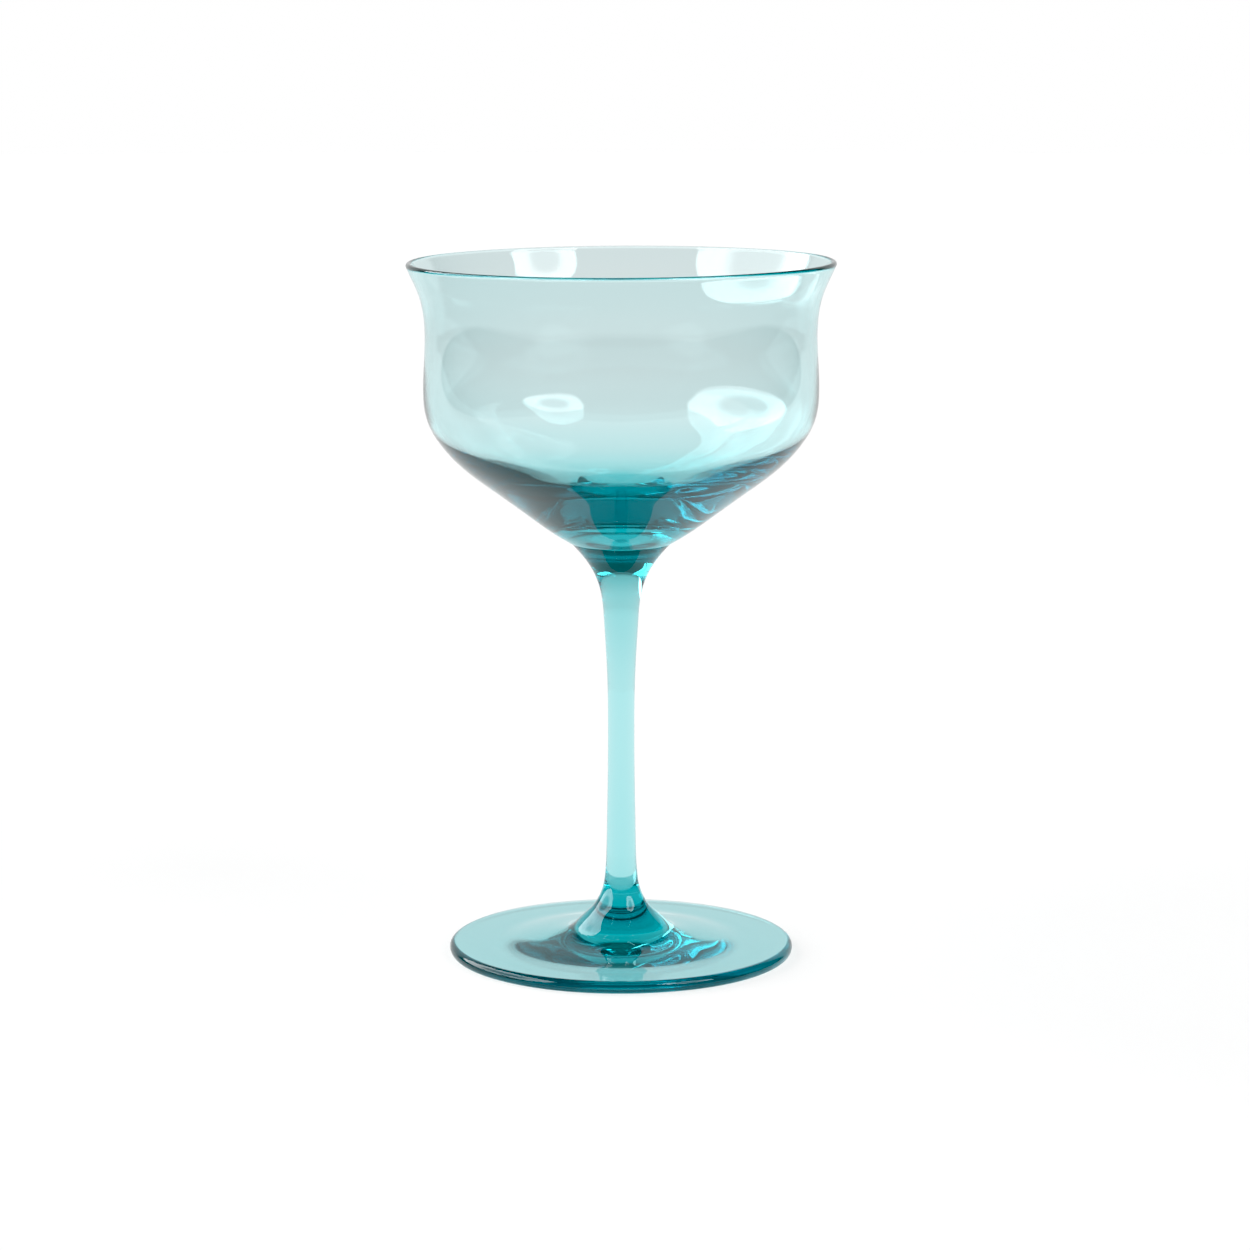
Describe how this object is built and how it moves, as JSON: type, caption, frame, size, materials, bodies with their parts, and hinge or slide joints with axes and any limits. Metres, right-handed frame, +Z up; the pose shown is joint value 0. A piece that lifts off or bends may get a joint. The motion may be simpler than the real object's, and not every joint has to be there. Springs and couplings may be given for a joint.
{
  "type": "cocktail glass",
  "caption": "Hand-blown stemmed cocktail glass: flared round bowl with a thick solid base, slim drawn stem and flat round foot.",
  "frame": {"origin": "centre of the circle that the foot rests on, on the supporting surface", "axes": "+Z up along the axis of the stem, from the foot to the rim; X and Y lie in the resting plane and are alike"},
  "size_m": [0.1002, 0.1002, 0.165],
  "materials": {
    "bowl_glass": "clear teal blown glass, fire-polished",
    "stem_glass": "clear teal drawn glass, fire-polished",
    "foot_glass": "clear teal hand-blown glass, fire-polished"
  },
  "bodies": {
    "root": {"bowl": "bowl_glass", "stem": "stem_glass", "foot": "foot_glass"}
  },
  "joints": []
}
